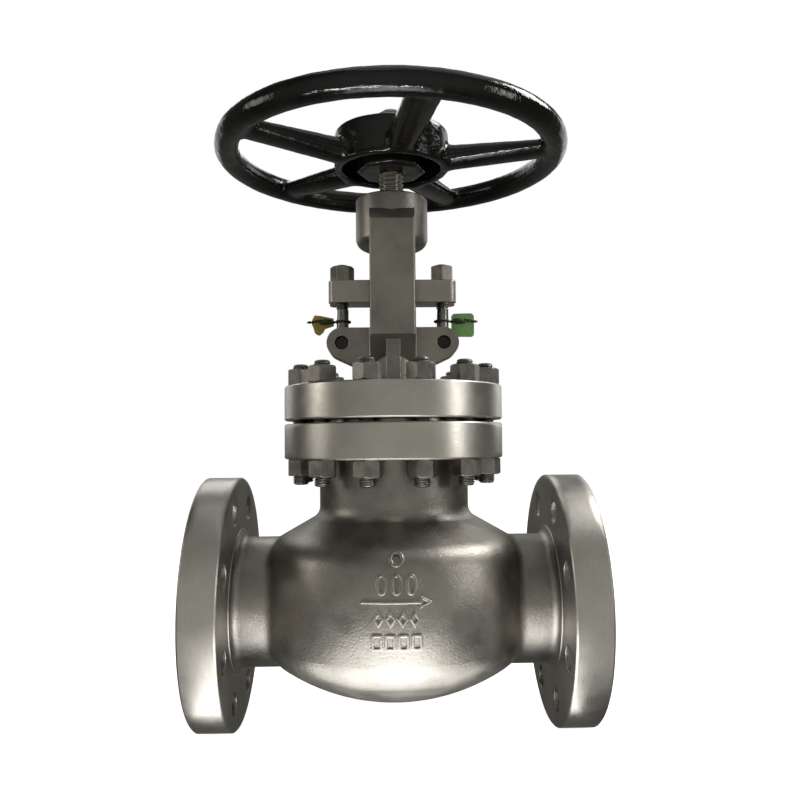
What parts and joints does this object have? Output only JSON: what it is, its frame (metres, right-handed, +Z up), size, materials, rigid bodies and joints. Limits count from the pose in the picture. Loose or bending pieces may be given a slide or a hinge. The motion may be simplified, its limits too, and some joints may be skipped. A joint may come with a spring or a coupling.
{
  "type": "globe valve",
  "caption": "Flanged cast globe valve with a bolted bonnet, outside yoke, rising stem, disc and seat, adjustable gland and a spoked handwheel.",
  "frame": {"origin": "centre of the inlet port on the inlet flange's raised face", "axes": "+X along the pipe axis the way the flow goes, +Z up along the stem, -Y towards the side that carries the raised flow arrow"},
  "size_m": [0.432, 0.4, 0.6924],
  "materials": {
    "cast_stainless": "bead-blasted and pickled cast stainless steel, satin, with faint casting texture",
    "machined_stainless": "turned stainless steel, fine tool lines",
    "stud_steel": "rolled-thread alloy steel, dull with bright ends",
    "nut_steel": "pale satin hexagon nuts with softened edges",
    "bronze": "turned bronze",
    "black_paint": "gloss black paint with an orange-peel surface over cast iron",
    "graphite": "pressed graphite, dull",
    "gasket": "spiral-wound steel and graphite",
    "green_tag": "thin translucent green plastic",
    "yellow_tag": "thin translucent yellow plastic",
    "dark_wire": "dark coated seal wire"
  },
  "bodies": {
    "valve_shell": {"body": "cast_stainless", "seat_ring": "machined_stainless", "bonnet_gasket": "gasket", "bonnet": "cast_stainless", "bonnet_studs": "stud_steel", "bonnet_nuts_upper": "nut_steel", "bonnet_nuts_lower": "nut_steel", "backseat_bushing": "machined_stainless", "packing_washer": "machined_stainless", "packing_rings": "graphite", "eyebolt_left": "stud_steel", "eyebolt_right": "stud_steel", "eyebolt_pin_left": "stud_steel", "eyebolt_pin_right": "stud_steel", "yoke_nut": "bronze", "yoke_nut_screw": "stud_steel", "tag_wire_left": "dark_wire", "tag_wire_right": "dark_wire", "tag_green": "green_tag", "tag_yellow": "yellow_tag"},
    "disc_assembly": {"disc": "machined_stainless", "disc_thrust_plate": "machined_stainless", "disc_nut": "machined_stainless"},
    "stem_and_wheel": {"stem": "machined_stainless", "handwheel": "black_paint", "handwheel_key": "stud_steel", "handwheel_washer": "nut_steel", "handwheel_nut": "nut_steel"},
    "gland": {"gland_follower": "machined_stainless", "gland_flange": "cast_stainless"},
    "nut_left": {"gland_nut_left": "nut_steel"},
    "nut_right": {"gland_nut_right": "nut_steel"}
  },
  "joints": [
    {"name": "stem_lift", "type": "slide", "parent": "valve_shell", "child": "disc_assembly", "axis": [0, 0, 1], "range_m": [0, 0.03]},
    {"name": "handwheel_spin", "type": "hinge", "parent": "disc_assembly", "child": "stem_and_wheel", "pos_m": [0.216, 0, 0.5], "axis": [0, 0, 1], "range_deg": [0, 2160]},
    {"name": "gland_travel", "type": "slide", "parent": "valve_shell", "child": "gland", "axis": [0, 0, 1], "range_m": [-0.006, 0], "deforming": ["packing_rings"]},
    {"name": "gland_nut_left_turn", "type": "hinge", "parent": "gland", "child": "nut_left", "pos_m": [0.159, 0, 0.366], "axis": [0, 0, 1], "range_deg": [-1080, 0]},
    {"name": "gland_nut_right_turn", "type": "hinge", "parent": "gland", "child": "nut_right", "pos_m": [0.273, 0, 0.366], "axis": [0, 0, 1], "range_deg": [-1080, 0]}
  ],
  "couplings": [
    {"joint": "stem_lift", "follows": "handwheel_spin", "m_per_rad": 0.00079577},
    {"joint": "gland_nut_left_turn", "follows": "gland_travel", "rad_per_m": 3141.6},
    {"joint": "gland_nut_right_turn", "follows": "gland_travel", "rad_per_m": 3141.6}
  ]
}
